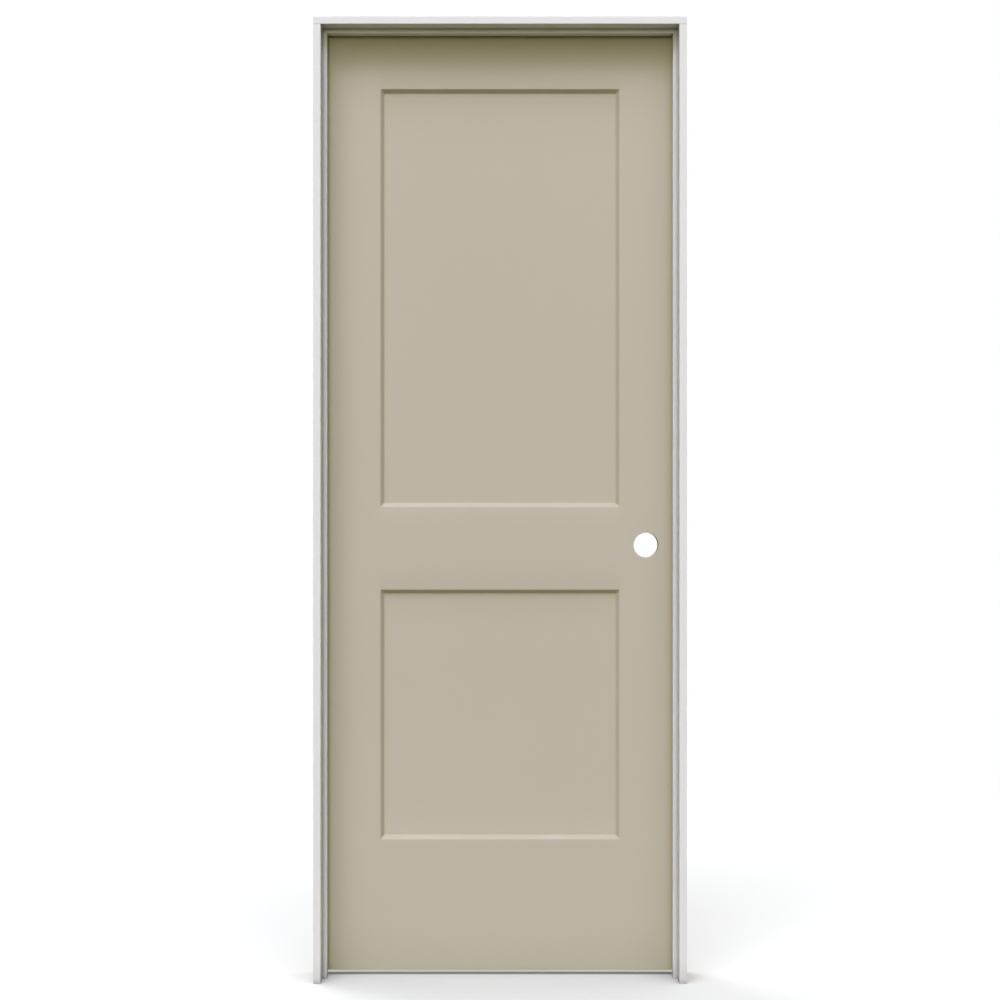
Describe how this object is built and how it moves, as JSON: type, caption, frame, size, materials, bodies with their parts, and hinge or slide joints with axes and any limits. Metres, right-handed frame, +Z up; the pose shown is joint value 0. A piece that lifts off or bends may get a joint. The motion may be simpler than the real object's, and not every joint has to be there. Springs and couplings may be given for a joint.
{
  "type": "prehung two-panel interior door",
  "caption": "Moulded panel door slab hung on butt hinges in a flat white jamb with stops, bored for a lockset, ready to set in a wall opening",
  "frame": {"origin": "outer face of the hinge jamb, at floor level and at the middle of the jamb's depth", "axes": "+X from the hinge jamb to the strike jamb, +Y the pull side that the slab swings to, +Z up"},
  "size_m": [0.7975, 0.1306, 2.064],
  "materials": {
    "tan_door_paint": "smooth satin tan paint on moulded hardboard and pine edges",
    "white_primer": "smooth flat white primer on milled wood",
    "block_wood": "bare cut wood inside the lock bores",
    "core_board": "plain board filling, sealed inside the slab",
    "satin_nickel": "satin nickel plate"
  },
  "bodies": {
    "door_frame": {"hinge_jamb": "white_primer", "strike_jamb": "white_primer", "head_jamb": "white_primer", "hinge_stop": "white_primer", "strike_stop": "white_primer", "head_stop": "white_primer", "jamb_leaf_top": "satin_nickel", "hinge_pin_top": "satin_nickel", "jamb_leaf_screws_top": "satin_nickel", "jamb_leaf_middle": "satin_nickel", "hinge_pin_middle": "satin_nickel", "jamb_leaf_screws_middle": "satin_nickel", "jamb_leaf_bottom": "satin_nickel", "hinge_pin_bottom": "satin_nickel", "jamb_leaf_screws_bottom": "satin_nickel"},
    "door_slab": {"push_side_skin": "tan_door_paint", "pull_side_skin": "tan_door_paint", "hinge_stile": "tan_door_paint", "lock_stile": "tan_door_paint", "top_rail": "tan_door_paint", "bottom_rail": "tan_door_paint", "lock_block": "block_wood", "door_core": "core_board", "door_leaf_top": "satin_nickel", "door_leaf_screws_top": "satin_nickel", "door_leaf_middle": "satin_nickel", "door_leaf_screws_middle": "satin_nickel", "door_leaf_bottom": "satin_nickel", "door_leaf_screws_bottom": "satin_nickel"}
  },
  "joints": [
    {"name": "door_swing", "type": "hinge", "parent": "door_frame", "child": "door_slab", "pos_m": [0.0185, 0.0671, 1.0775], "axis": [0, 0, 1], "range_deg": [0, 180]}
  ]
}
